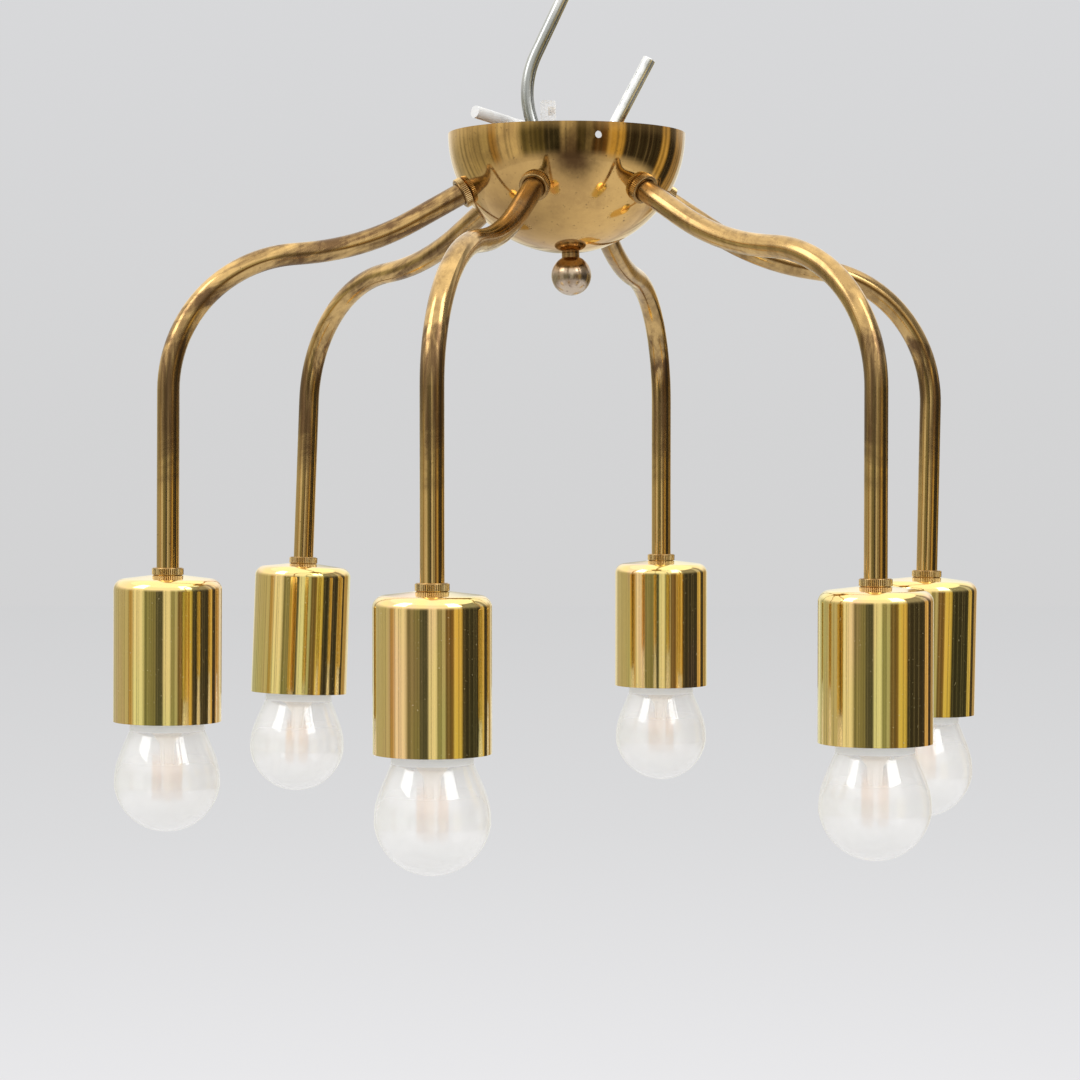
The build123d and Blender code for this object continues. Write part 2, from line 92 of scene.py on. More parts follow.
class Finish:
    """Node tree of a surface or of the surroundings."""

    def __init__(self, owner):
        owner.use_nodes = True
        self.owner = owner
        self.tree = owner.node_tree

    def node(self, kind, settings=None, sockets=None, output=0):
        made = self.tree.nodes.new(kind)
        for key, value in (settings or {}).items():
            if key == "stops":
                ramp = made.color_ramp
                while len(ramp.elements) < len(value):
                    ramp.elements.new(1.0)
                for element, (place, colour) in zip(ramp.elements, value):
                    element.position = place
                    element.color = (*colour, 1.0)
            else:
                setattr(made, key, value)
        for key, value in (sockets or {}).items():
            self.feed(made.inputs[key], value)
        return Value(self, made.outputs[output])

    def feed(self, socket, value):
        if isinstance(value, Value):
            self.tree.links.new(value.socket, socket)
        else:
            socket.default_value = value

    def surface(self, **sockets):
        """Sets the sockets of the main shader, with _ for a space in their names."""
        shader = self.tree.nodes["Principled BSDF"]
        for key, value in sockets.items():
            self.feed(shader.inputs[key.replace("_", " ")], value)

    def show(self, shader):
        """Makes a shader the one that the output shows."""
        for end in self.tree.nodes:
            if end.type in ("OUTPUT_MATERIAL", "OUTPUT_WORLD"):
                self.feed(end.inputs["Surface"], shader)

    def place(self, stretch=(1, 1, 1)):
        here = self.node("ShaderNodeTexCoord", output="Object")
        return self.node("ShaderNodeMapping", {}, {"Vector": here, "Scale": stretch})

    def coordinate(self, axis):
        """X, Y or Z of the place, for axis 0, 1 or 2."""
        return self.node("ShaderNodeSeparateXYZ", {}, {0: self.place()}, output=axis)

    def cloud(self, scale, detail=4.0, stretch=(1, 1, 1), rough=0.55):
        sockets = {"Vector": self.place(stretch), "Scale": scale, "Detail": detail, "Roughness": rough}
        return self.node("ShaderNodeTexNoise", {}, sockets)

    def step(self, value, low, high):
        """0 below low and 1 above high, with a soft edge between."""
        sockets = {"Value": value, "From Min": low, "From Max": high}
        return self.node("ShaderNodeMapRange", {"interpolation_type": "SMOOTHSTEP"}, sockets)

    def mix(self, factor, first, second):
        sockets = {0: factor, 6: (*first, 1.0) if isinstance(first, tuple) else first}
        sockets[7] = (*second, 1.0) if isinstance(second, tuple) else second
        return self.node("ShaderNodeMix", {"data_type": "RGBA"}, sockets, output=2)

    def bump(self, height, strength, distance):
        sockets = {"Height": height, "Strength": strength, "Distance": distance}
        return self.node("ShaderNodeBump", {}, sockets)

    def seen_rays(self):
        """1 for rays of the camera and for those that it sees in polish or through glass, else 0."""
        rays = self.node("ShaderNodeLightPath")
        seen = rays
        for output in ("Is Glossy Ray", "Is Transmission Ray"):
            seen = rays.math("MAXIMUM", seen, Value(self, rays.socket.node.outputs[output]))
        return seen


def new_finish(name):
    return Finish(bpy.data.materials.new(name))


def wear(finish, *names):
    """Gives CAD nodes their finish."""
    for name in names:
        nodes[name].data.materials.clear()
        nodes[name].data.materials.append(finish.owner)


CABLE_RADIUS = 0.0029
CABLE_ROUTE = (
    (-0.01212, 0.018, 0.0052),
    (-0.0205, 0.018, 0.0052),
    (-0.031, 0.011, 0.0083),
    (-0.0422, 0.001, 0.0106),
)
sheath = new_finish("cable_sheath")
grease = sheath.cloud(160.0, 5.0)
sheath.surface(
    Base_Color=sheath.mix(sheath.step(grease, 0.45, 0.75), (0.86, 0.86, 0.85), (0.74, 0.72, 0.67)),
    Roughness=0.22 + 0.2 * grease,
    Coat_Weight=0.3,
    Coat_Roughness=0.12,
)
cable_line = bpy.data.curves.new("supply_cable_sheath", "CURVE")
cable_line.dimensions = "3D"
cable_line.bevel_depth = CABLE_RADIUS
cable_line.bevel_resolution = 8
cable_line.resolution_u = 24
cable_line.use_fill_caps = True
cable_spline = cable_line.splines.new("NURBS")
cable_spline.points.add(len(CABLE_ROUTE) - 1)
for point, spot in zip(cable_spline.points, CABLE_ROUTE):
    point.co = (*spot, 1.0)
cable_spline.order_u = 3
cable_spline.use_endpoint_u = True
cable_line.materials.append(sheath.owner)
cable = bpy.data.objects.new("supply_cable_sheath", cable_line)
scene.collection.objects.link(cable)
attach(cable, "lamp")
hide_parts("supply_cable")


# Hanging hook: round steel wire, bent cold to an S and plated bright.
# Fine draw lines run along the wire, the plating is dull where it is rubbed, and the long side is
# painted dark, a painted reflection of the bowl.
hook_steel = new_finish("zinc_steel")
rubbed = hook_steel.cloud(120.0, 6.0)
drawn = hook_steel.cloud(900.0, 2.0, (1, 1, 0.05))
# Painted reflection: the long side of the hook is darkened in its colour.
painted_dark_side = hook_steel.step(hook_steel.coordinate(0), 0.004, -0.010)
plating_and_painted_reflection = hook_steel.mix(painted_dark_side, (0.88, 0.89, 0.90), (0.37, 0.38, 0.37))
hook_steel.surface(
    Base_Color=hook_steel.mix(hook_steel.step(rubbed, 0.4, 0.7) * 0.7, plating_and_painted_reflection, (0.40, 0.42, 0.43)),
    Metallic=1.0,
    Roughness=0.16 + 0.16 * rubbed,
    Normal=hook_steel.bump(drawn, 0.03, 0.0002),
)
wear(hook_steel, "hanging_hook")


# Hanger bracket, cross pin, centre stud and hexagon nuts: plated steel hardware inside the bowl.
# The strip is bent to a U and clamped to the bowl by the stud, and the pin is riveted over.
hardware = new_finish("bracket_steel")
stain = hardware.cloud(90.0, 6.0)
hardware.surface(
    Base_Color=hardware.mix(hardware.step(stain, 0.4, 0.72), (0.56, 0.56, 0.55), (0.33, 0.30, 0.25)),
    Metallic=1.0,
    Roughness=0.26 + 0.3 * stain,
    Normal=hardware.bump(hardware.cloud(700.0, 3.0), 0.1, 0.0002),
)
wear(hardware, "hanger_bracket", "hanger_pin", "centre_stud", "stud_nut", "arm_lock_nuts")


# Bowl: a hemisphere spun from brass sheet and polished, open to the ceiling.
# Handling has left a brown haze with small dark spots, and the haze is painted thicker below the rim as
# a painted dark reflection;
# dark patches, each with its place, reach and depth of tone, are painted reflections of the room at the
# front.
DARK_REFLECTION_PATCHES = (
    ((0.0022, -0.0523, -0.0153), 0.016, 0.95),
    ((-0.0115, -0.0535, -0.0060), 0.011, 0.6),
    ((0.0060, -0.0540, -0.0050), 0.013, 0.65),
    ((-0.0180, -0.0310, -0.0400), 0.030, 0.42),
)
DARK_REFLECTION_COLOUR = (0.070, 0.034, 0.014)
bowl_brass = new_finish("polished_brass")
haze = bowl_brass.cloud(26.0, 8.0, rough=0.62)
spun = bowl_brass.cloud(420.0, 2.0, (0.12, 0.12, 1.0))
spots = bowl_brass.step(bowl_brass.cloud(800.0, 2.0), 0.67, 0.73)
mottle = bowl_brass.cloud(120.0, 6.0, rough=0.65)
# Painted reflection: below the rim the brown haze is painted thicker.
rim_dark_reflection = bowl_brass.step(bowl_brass.coordinate(2) + 0.018 * haze, -0.018, 0.004)
haze_and_rim_reflection = bowl_brass.step(0.65 * haze + 0.35 * mottle, 0.40, 0.62) * 0.6 + rim_dark_reflection * 0.12
polish_and_painted_reflections = bowl_brass.mix(haze_and_rim_reflection, (0.70, 0.445, 0.16), (0.34, 0.20, 0.08))
# Painted reflections: dark patches at the front, where the bowl mirrors the dark room.
for spot, spread, tone in DARK_REFLECTION_PATCHES:
    sockets = {0: bowl_brass.place(), 1: spot}
    away = bowl_brass.node("ShaderNodeVectorMath", {"operation": "DISTANCE"}, sockets, output="Value")
    dark_reflection = bowl_brass.step(away + 0.014 * (mottle - 0.5), 1.15 * spread, 0.1 * spread)
    polish_and_painted_reflections = bowl_brass.mix(dark_reflection * tone, polish_and_painted_reflections, DARK_REFLECTION_COLOUR)
bowl_brass.surface(
    Base_Color=bowl_brass.mix(spots * 0.75, polish_and_painted_reflections, (0.13, 0.08, 0.035)),
    Metallic=1.0,
    Roughness=0.035 + 0.09 * haze + 0.12 * spots,
    Normal=bowl_brass.bump(spun, 0.04, 0.0002),
)
wear(bowl_brass, "bowl")


# Finial: a ball with a short neck, turned from brass and screwed on the stud under the bowl.
# Its skin has tarnished to a greyish rose with darker freckles, and the neck and top of the ball are
# painted brown, a painted shade under the bowl above.
finial_brass = new_finish("finial_brass")
tarnish = finial_brass.cloud(130.0, 6.0, rough=0.65)
freckle = finial_brass.step(finial_brass.cloud(480.0, 3.0), 0.6, 0.72)
# Painted shade: the neck and the top of the ball, under the bowl, are painted brown.
neck_painted_shade = finial_brass.step(finial_brass.coordinate(2) + 0.004 * tarnish, -0.0625, -0.0575)
greyed = finial_brass.step(tarnish, 0.38, 0.66)
skin = finial_brass.mix(greyed, (0.60, 0.49, 0.37), (0.36, 0.27, 0.19))
skin = finial_brass.mix(neck_painted_shade * 0.8, skin, (0.33, 0.18, 0.05))
finial_brass.surface(
    Base_Color=finial_brass.mix(freckle * 0.6, skin, (0.15, 0.10, 0.07)),
    Metallic=1.0,
    Roughness=0.12 + 0.2 * tarnish,
)
wear(finial_brass, "finial_ball")


# Arms: brass tube of ten millimetres, bent over two radii and threaded at both ends.
# The unlacquered tube has aged, browner by the bowl, with blotches above that are deeper on
# the left, a scorched band below the bend and thin streaks along the drop.
ARM_SETTINGS = (
    (-107.7, 0.0, 0.0),
    (-45.7, 0.0, 0.0),
    (15.0, 1.1, 0.0),
    (73.75, 0.0, 0.0),
    (134.8, 0.0, 3.2),
    (-165.7, -0.4, 0.0),
)
ARM_NUMBERS = range(1, len(ARM_SETTINGS) + 1)
ARM_ANGLE = 30.0
HEAD_REACH = 0.1823674
HEAD_HEIGHT = -0.2020996
# Where a stain starts and where it is full, in height, in reach from the middle, or to the left
BLOTCH_HEIGHTS = (-0.095, -0.07)
SCORCH_FOOT_HEIGHTS = (-0.170, -0.132)
SCORCH_TOP_HEIGHTS = (-0.080, -0.100)
BROWN_REACHES = (0.105, 0.070)
LEFT_SIDE = (-0.03, -0.08)


def each(name):
    """Names of a piece that is there once on each arm."""
    return [f"{name}_{number}" for number in ARM_NUMBERS]


def arm_turn(number):
    """Turns a piece drawn in the XZ plane into the place of one arm."""
    azimuth, tilt, twist = (math.radians(value) for value in ARM_SETTINGS[number - 1])
    slope = math.radians(ARM_ANGLE)
    to_thread = Matrix.Rotation(slope, 4, "Y")
    about_thread = to_thread @ Matrix.Rotation(twist, 4, "X") @ Matrix.Rotation(-slope, 4, "Y")
    return Matrix.Rotation(azimuth, 4, "Z") @ Matrix.Rotation(tilt, 4, "Y") @ about_thread


def head_turn(number):
    """Frame on top of a cup, with Z up along the cup's axis."""
    return arm_turn(number) @ Matrix.Translation((HEAD_REACH, 0, HEAD_HEIGHT))


arm_brass = new_finish("aged_brass")
across, depth, height = (arm_brass.coordinate(axis) for axis in range(3))
reach = (across * across + depth * depth) ** 0.5
along = arm_brass.node(
    "ShaderNodeCombineXYZ",
    {},
    {0: 0.1 * across.math("ARCTAN2", depth, across), 1: height + 0.45 * reach, 2: 0.15 * reach},
)
streaks = arm_brass.cloud(240.0, 5.0, (1, 1, 0.04), rough=0.6)
blotches = arm_brass.node(
    "ShaderNodeTexNoise", {}, {"Vector": along, "Scale": 150.0, "Detail": 5.0, "Roughness": 0.6}
)
uneven = height + 0.05 * (blotches - 0.5)
upper = arm_brass.step(uneven, *BLOTCH_HEIGHTS)
scorched = arm_brass.step(uneven, *SCORCH_FOOT_HEIGHTS) * arm_brass.step(uneven, *SCORCH_TOP_HEIGHTS)
aged = 0.25 * arm_brass.step(streaks, 0.40, 0.66) + 0.8 * scorched * arm_brass.step(streaks, 0.25, 0.55)
left = arm_brass.step(across, *LEFT_SIDE)
aged = aged + (0.42 + 0.45 * left) * upper * arm_brass.step(blotches, 0.36, 0.60)
aged = aged + 0.28 * arm_brass.step(reach + 0.03 * (blotches - 0.5), *BROWN_REACHES)
pits = arm_brass.step(arm_brass.cloud(700.0, 2.0), 0.68, 0.75)
tube_colour = arm_brass.mix(aged, (0.66, 0.44, 0.18), (0.150, 0.088, 0.042))
arm_brass.surface(
    Base_Color=arm_brass.mix(pits * 0.6, tube_colour, (0.11, 0.065, 0.03)),
    Metallic=1.0,
    Roughness=0.09 + 0.2 * aged,
    Normal=arm_brass.bump(streaks + pits * 0.4, 0.03, 0.0002),
)
wear(arm_brass, *each("arm_tube"))


# Ring nuts: turned brass rings with straight knurling, one against the bowl and one on each cup.
# A ring swept round the thread carries the ridges of the knurl, each a small four-sided bar,
# whose crests are bright while dirt stays in the grooves.
class Tree:
    """Geometry node tree that is built from named inputs."""

    def __init__(self, name, **inputs):
        self.group = bpy.data.node_groups.new(name, "GeometryNodeTree")
        self.group.interface.new_socket("Geometry", in_out="OUTPUT", socket_type="NodeSocketGeometry")
        self.group.interface.new_socket("Geometry", in_out="INPUT", socket_type="NodeSocketGeometry")
        self.identifiers = {}
        for key, value in inputs.items():
            kind = "NodeSocketInt" if isinstance(value, int) else "NodeSocketFloat"
            socket = self.group.interface.new_socket(key, in_out="INPUT", socket_type=kind)
            self.identifiers[key] = socket.identifier
        self.inputs = self.group.nodes.new("NodeGroupInput").outputs
        self.sizes = inputs

    def node(self, kind, settings=None, sockets=None, output=0):
        made = self.group.nodes.new(kind)
        for key, value in (settings or {}).items():
            setattr(made, key, value)
        for key, value in (sockets or {}).items():
            sources = value if isinstance(value, list) else [value]
            for source in sources:
                if isinstance(source, bpy.types.NodeSocket):
                    self.group.links.new(source, made.inputs[key])
                else:
                    made.inputs[key].default_value = source
        return made.outputs[output]

    def maths(self, operation, first, second):
        return self.node("ShaderNodeMath", {"operation": operation}, {0: first, 1: second})

    def finish(self, geometry, material):
        real = self.node("GeometryNodeRealizeInstances", {}, {0: geometry})
        dressed = self.node("GeometryNodeSetMaterial", {}, {"Geometry": real, "Material": material})
        self.group.links.new(dressed, self.group.nodes.new("NodeGroupOutput").inputs[0])
        self.material = material

    def make(self, name, mesh):
        """Plain mesh of the tree's result on a mesh."""
        holder = bpy.data.objects.new(name, mesh)
        scene.collection.objects.link(holder)
        modifier = holder.modifiers.new(name, "NODES")
        modifier.node_group = self.group
        for key, value in self.sizes.items():
            modifier[self.identifiers[key]] = value
        shape = holder.evaluated_get(bpy.context.evaluated_depsgraph_get())
        plain = bpy.data.meshes.new_from_object(shape)
        bpy.data.objects.remove(holder)
        plain.name = name
        plain.materials.clear()
        plain.materials.append(self.material)
        plain.polygons.foreach_set("material_index", [0] * len(plain.polygons))
        return plain


def new_piece(name, mesh, body, slot, *replaced):
    piece = bpy.data.objects.new(name, mesh)
    scene.collection.objects.link(piece)
    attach(piece, body)
    if replaced:
        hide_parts(*replaced)


def placed_points(name, places):
    """A mesh of loose points, each with the turn of its place as an attribute."""
    mesh = bpy.data.meshes.new(name)
    mesh.from_pydata([place.to_translation() for place in places], [], [])
    turns = mesh.attributes.new("turn", "FLOAT_VECTOR", "POINT")
    for item, place in zip(turns.data, places):
        item.vector = place.to_euler()
    return mesh


RING_NUT_SEAT = 0.05427
KNURL_RADIUS = 0.007
KNURL_ROOT = 0.0065
KNURL_DEPTH = 0.0005
nut_brass = new_finish("knurled_brass")
dirt = nut_brass.cloud(240.0, 5.0)
crest = nut_brass.node("ShaderNodeAttribute", {"attribute_name": "crest"}, {}, output="Fac")
by_bowl = nut_brass.step(nut_brass.coordinate(2), -0.12, -0.06)
groove = nut_brass.mix(nut_brass.step(dirt, 0.42, 0.7), (0.42, 0.27, 0.11), (0.20, 0.12, 0.05))
knurled = nut_brass.mix(nut_brass.step(crest, 0.25, 0.85), groove, (0.90, 0.68, 0.36))
nut_brass.surface(
    Base_Color=nut_brass.mix(by_bowl * 0.35, knurled, (0.22, 0.13, 0.05)),
    Metallic=1.0,
    Roughness=0.18 + 0.2 * dirt,
)
nut = Tree(
    "knurled_nut",
    bore=0.00505,
    body=0.0066,
    height=0.0035,
    edge=0.00035,
    ridge=0.00046,
    ridges=48,
)
wall = nut.maths("SUBTRACT", nut.inputs["body"], nut.inputs["bore"])
middle = nut.maths("MULTIPLY", nut.maths("ADD", nut.inputs["body"], nut.inputs["bore"]), 0.5)
section = nut.node(
    "GeometryNodeCurvePrimitiveQuadrilateral", {}, {"Width": wall, "Height": nut.inputs["height"]}
)
section = nut.node(
    "GeometryNodeFilletCurve",
    {"mode": "POLY"},
    {"Curve": section, "Radius": nut.inputs["edge"], "Count": 2},
)
round_line = nut.node("GeometryNodeCurvePrimitiveCircle", {}, {"Resolution": 64, "Radius": middle})
ring = nut.node("GeometryNodeCurveToMesh", {}, {"Curve": round_line, "Profile Curve": section})
both_edges = nut.maths("MULTIPLY", nut.inputs["edge"], 2.2)
ridge_height = nut.maths("SUBTRACT", nut.inputs["height"], both_edges)
bar = nut.node(
    "GeometryNodeMeshCylinder",
    {},
    {"Vertices": 4, "Radius": nut.inputs["ridge"], "Depth": ridge_height},
)
ridge_reach = nut.maths("SUBTRACT", KNURL_RADIUS, nut.inputs["ridge"])
ridge_line = nut.node(
    "GeometryNodeMeshCircle", {}, {"Vertices": nut.inputs["ridges"], "Radius": ridge_reach}
)
outward = nut.node("GeometryNodeInputPosition")
turned_out = nut.node(
    "FunctionNodeAlignRotationToVector", {"axis": "X", "pivot_axis": "Z"}, {"Vector": outward}
)
knurl = nut.node(
    "GeometryNodeInstanceOnPoints", {}, {"Points": ridge_line, "Instance": bar, "Rotation": turned_out}
)
knurl = nut.node("GeometryNodeRealizeInstances", {}, {0: knurl})
level_place = nut.node("ShaderNodeVectorMath", {"operation": "MULTIPLY"}, {0: outward, 1: (1, 1, 0)})
from_axis = nut.node("ShaderNodeVectorMath", {"operation": "LENGTH"}, {0: level_place}, output="Value")
rise = nut.maths("DIVIDE", nut.maths("SUBTRACT", from_axis, KNURL_ROOT), KNURL_DEPTH)
knurl = nut.node(
    "GeometryNodeStoreNamedAttribute", {}, {"Geometry": knurl, "Name": "crest", "Value": rise}
)
whole = nut.node("GeometryNodeJoinGeometry", {}, {0: [ring, knurl]})
lift = nut.node("ShaderNodeCombineXYZ", {}, {"Z": nut.maths("MULTIPLY", nut.inputs["height"], 0.5)})
whole = nut.node("GeometryNodeTransform", {}, {"Geometry": whole, "Translation": lift})
turn = nut.node("GeometryNodeInputNamedAttribute", {"data_type": "FLOAT_VECTOR"}, {"Name": "turn"})
turn = nut.node("FunctionNodeEulerToRotation", {}, {0: turn})
nuts = nut.node(
    "GeometryNodeInstanceOnPoints",
    {},
    {"Points": nut.inputs["Geometry"], "Instance": whole, "Rotation": turn},
)
nut.finish(nuts, nut_brass.owner)
port_turn = Matrix.Rotation(math.radians(90 + ARM_ANGLE), 4, "Y")
port_frame = port_turn @ Matrix.Translation((0, 0, RING_NUT_SEAT))
bowl_seats = placed_points("bowl_seats", [arm_turn(number) @ port_frame for number in ARM_NUMBERS])
cup_seats = placed_points("cup_seats", [head_turn(number) for number in ARM_NUMBERS])
for name, seats, replaced in (
    ("arm_ring_nuts_knurled", bowl_seats, "arm_ring_nuts"),
    ("cup_collar_nuts_knurled", cup_seats, "cup_collar_nuts"),
):
    new_piece(name, nut.make(name, seats), "lamp", "knurled_brass", replaced)


# Leads and loom: white sleeving over the wires in the arms, gathered in a ring inside the bowl.
# The sleeving is braided, so its surface is a fine regular weave.
sleeve = new_finish("lead_sleeve")
weave = sleeve.node(
    "ShaderNodeTexWave", {"bands_direction": "DIAGONAL"}, {"Vector": sleeve.place(), "Scale": 260.0}
)
dust = sleeve.cloud(140.0, 4.0)
sleeve.surface(
    Base_Color=sleeve.mix(sleeve.step(dust, 0.4, 0.7), (0.78, 0.77, 0.73), (0.55, 0.52, 0.46)),
    Roughness=0.7 + 0.15 * dust,
    Normal=sleeve.bump(weave, 0.3, 0.0003),
)
wear(sleeve, "arm_leads", "lead_loom")


# Cups: deep-drawn brass with a round shoulder, polished bright and lacquered.
# The lacquer shows faint pink and green, and draw lines and dust run down the wall.
cup_brass = new_finish("lacquered_brass")
lines = cup_brass.cloud(330.0, 3.0, (1, 1, 0.02))
tint = cup_brass.cloud(46.0, 2.0, (1, 1, 0.12))
smear = cup_brass.cloud(60.0, 6.0)
motes = cup_brass.step(cup_brass.cloud(1300.0, 1.0), 0.74, 0.79)
lacquer = cup_brass.mix(cup_brass.step(tint, 0.36, 0.48), (0.80, 0.68, 0.26), (0.88, 0.66, 0.27))
lacquer = cup_brass.mix(cup_brass.step(tint, 0.54, 0.66), lacquer, (0.92, 0.61, 0.33))
cup_brass.surface(
    Base_Color=cup_brass.mix(motes * 0.6, lacquer, (0.48, 0.39, 0.24)),
    Metallic=1 - 0.4 * motes,
    Roughness=0.05 + 0.08 * smear + 0.3 * motes,
    Coat_Weight=0.25,
    Coat_Roughness=0.05,
    Normal=cup_brass.bump(lines, 0.05, 0.0002),
)
wear(cup_brass, *each("socket_cup"))


# Lampholders: dark moulded bodies screwed to the arms inside the cups, with brass shells and contacts.
# The moulding has a dull grained skin, and the brass is plain.
moulding = new_finish("holder_moulding")
grain = moulding.cloud(600.0, 4.0)
moulding.surface(
    Base_Color=moulding.mix(grain, (0.035, 0.032, 0.03), (0.09, 0.08, 0.07)),
    Roughness=0.38 + 0.3 * grain,
    Normal=moulding.bump(grain, 0.15, 0.0002),
)
wear(moulding, *each("lampholder"))
contact_brass = new_finish("contact_brass")
scuff = contact_brass.cloud(300.0, 5.0)
contact_brass.surface(
    Base_Color=contact_brass.mix(scuff, (0.78, 0.62, 0.34), (0.55, 0.40, 0.20)),
    Metallic=1.0,
    Roughness=0.2 + 0.25 * scuff,
)
wear(contact_brass, "lampholder_shells", "lampholder_contacts", "terminal_screws", *each("bulb_tip"))


# Bulbs: a golf ball of milky glass in a white collar, with a threaded metal cap that screws into
# the holder. Inside, on a glass stem, four straight light filaments show as a warm column.
SHARP_ANGLE = math.radians(35)
SAME_SPOT = 1e-7


def turned(outline, segments=48):
    """Closed mesh from an outline of radius and height that starts and ends on the axis."""
    shape = bmesh.new()
    corners = [shape.verts.new((radius, 0, level)) for radius, level in outline]
    edges = [shape.edges.new(pair) for pair in zip(corners, corners[1:])]
    bmesh.ops.spin(
        shape,
        geom=corners + edges,
        cent=(0, 0, 0),
        axis=(0, 0, 1),
        angle=2 * math.pi,
        steps=segments,
        use_merge=True,
    )
    bmesh.ops.remove_doubles(shape, verts=shape.verts, dist=SAME_SPOT)
    bmesh.ops.recalc_face_normals(shape, faces=shape.faces)
    return shape


def settle(shape, name, material):
    mesh = bpy.data.meshes.new(name)
    shape.to_mesh(mesh)
    shape.free()
    mesh.materials.append(material)
    for face in mesh.polygons:
        face.use_smooth = True
    mesh.set_sharp_from_angle(angle=SHARP_ANGLE)
    return mesh


opal = new_finish("opal_glass")
milk = opal.cloud(55.0, 3.0)
edge = opal.node("ShaderNodeLayerWeight", {}, {"Blend": 0.35}, output="Facing")
coated = opal.step(opal.coordinate(2), -0.274, -0.312)
opal.surface(
    Base_Color=opal.mix(milk, (0.96, 0.955, 0.94), (0.93, 0.925, 0.91)),
    Roughness=0.04 + 0.05 * milk,
    IOR=1.5,
    Alpha=0.22 + 0.42 * coated + 0.05 * edge,
    # Painted glow: a faint emission, warmer where the glass is milky, stands in for light scattered
    # through it.
    Emission_Color=opal.mix(coated, (0.80, 0.81, 0.82), (1.0, 0.97, 0.93)),
    Emission_Strength=0.075,
)
sheen = opal.node("ShaderNodeLayerWeight", {}, {"Blend": 0.3}, output="Fresnel")
sheen = sheen.math("MINIMUM", 0.03 + sheen * 0.4, 0.13)
milky = Value(opal, opal.tree.nodes["Principled BSDF"].outputs[0])
gloss = opal.node("ShaderNodeBsdfGlossy", {}, {"Color": (1, 1, 1, 1), "Roughness": 0.04})
opal.show(opal.node("ShaderNodeMixShader", {}, {0: sheen, 1: milky, 2: gloss}))
collar_white = new_finish("white_collar")
cloudy = collar_white.cloud(200.0, 4.0)
collar_white.surface(
    Base_Color=collar_white.mix(cloudy, (0.95, 0.95, 0.93), (0.88, 0.88, 0.85)),
    Roughness=0.3 + 0.2 * cloudy,
    # Painted glow: a faint emission lifts the white where the cup shades the collar.
    Emission_Color=collar_white.mix(cloudy, (1.0, 0.99, 0.96), (0.92, 0.91, 0.88)),
    Emission_Strength=0.1,
)
cap_metal = new_finish("cap_metal")
rub = cap_metal.cloud(220.0, 5.0)
cap_metal.surface(
    Base_Color=cap_metal.mix(rub, (0.76, 0.76, 0.74), (0.60, 0.59, 0.56)),
    Metallic=1.0,
    Roughness=0.2 + 0.2 * rub,
)
wear(collar_white, *each("bulb_collar"))

GLASS_RADIUS = 0.02375
GLASS_WALL = 0.001
NECK_TAPER = math.radians(23.5)
NECK_RADIUS = 0.01655
NECK_TOP = -0.069
BALL_STEPS = 40
NECK_STEPS = 10
EASE_PASSES = 24
GLASS_SEGMENTS = 72
neck_length = (GLASS_RADIUS * math.cos(NECK_TAPER) - NECK_RADIUS) / math.sin(NECK_TAPER)
ball_centre = NECK_TOP - GLASS_RADIUS * math.sin(NECK_TAPER) - neck_length * math.cos(NECK_TAPER)


def blown_line(radius, neck_radius):
    """Outline of the ball and its neck from foot to mouth, eased where the two meet."""
    swing = math.pi / 2 + NECK_TAPER
    turns = [swing * step / BALL_STEPS - math.pi / 2 for step in range(BALL_STEPS + 1)]
    line = [Vector((radius * math.cos(turn), ball_centre + radius * math.sin(turn))) for turn in turns]
    joint = line[-1]
    mouth = Vector((neck_radius, NECK_TOP))
    line += [joint.lerp(mouth, step / NECK_STEPS) for step in range(1, NECK_STEPS + 1)]
    for _ in range(EASE_PASSES):
        eased = list(line)
        for place in range(BALL_STEPS - NECK_STEPS, len(line) - 1):
            eased[place] = (line[place - 1] + 2 * line[place] + line[place + 1]) / 4
        line = eased
    return line


outer_line = blown_line(GLASS_RADIUS, NECK_RADIUS)
inner_line = blown_line(GLASS_RADIUS - GLASS_WALL, NECK_RADIUS - GLASS_WALL / math.cos(NECK_TAPER))
glass_shape = turned(outer_line + inner_line[::-1], GLASS_SEGMENTS)
blown_glass = settle(glass_shape, "bulb_glass_blown", opal.owner)

CAP_LINE = (
    (0, -0.059),
    (0.0121, -0.059),
    (0.0121, -0.0415),
    (0.0108, -0.0405),
    (0.007, -0.038),
    (0, -0.038),
)
cap_core = settle(turned(CAP_LINE), "cap_core", cap_metal.owner)
thread = Tree("screw_cap", reach=0.0121, crest=0.00098, pitch=0.00363, turns=4.2, foot=-0.0577)
helix = thread.node(
    "GeometryNodeCurveSpiral",
    {},
    {
        "Resolution": 40,
        "Rotations": thread.inputs["turns"],
        "Start Radius": thread.inputs["reach"],
        "End Radius": thread.inputs["reach"],
        "Height": thread.maths("MULTIPLY", thread.inputs["turns"], thread.inputs["pitch"]),
    },
)
rolled = thread.node(
    "GeometryNodeCurvePrimitiveCircle", {}, {"Resolution": 10, "Radius": thread.inputs["crest"]}
)
rolled = thread.node(
    "GeometryNodeCurveToMesh", {}, {"Curve": helix, "Profile Curve": rolled, "Fill Caps": True}
)
rolled = thread.node("GeometryNodeSetShadeSmooth", {}, {"Geometry": rolled})
raised = thread.node("ShaderNodeCombineXYZ", {}, {"Z": thread.inputs["foot"]})
rolled = thread.node("GeometryNodeTransform", {}, {"Geometry": rolled, "Translation": raised})
cap_shape = thread.node("GeometryNodeJoinGeometry", {}, {0: [thread.inputs["Geometry"], rolled]})
thread.finish(cap_shape, cap_metal.owner)
threaded_cap = thread.make("bulb_cap_threaded", cap_core)

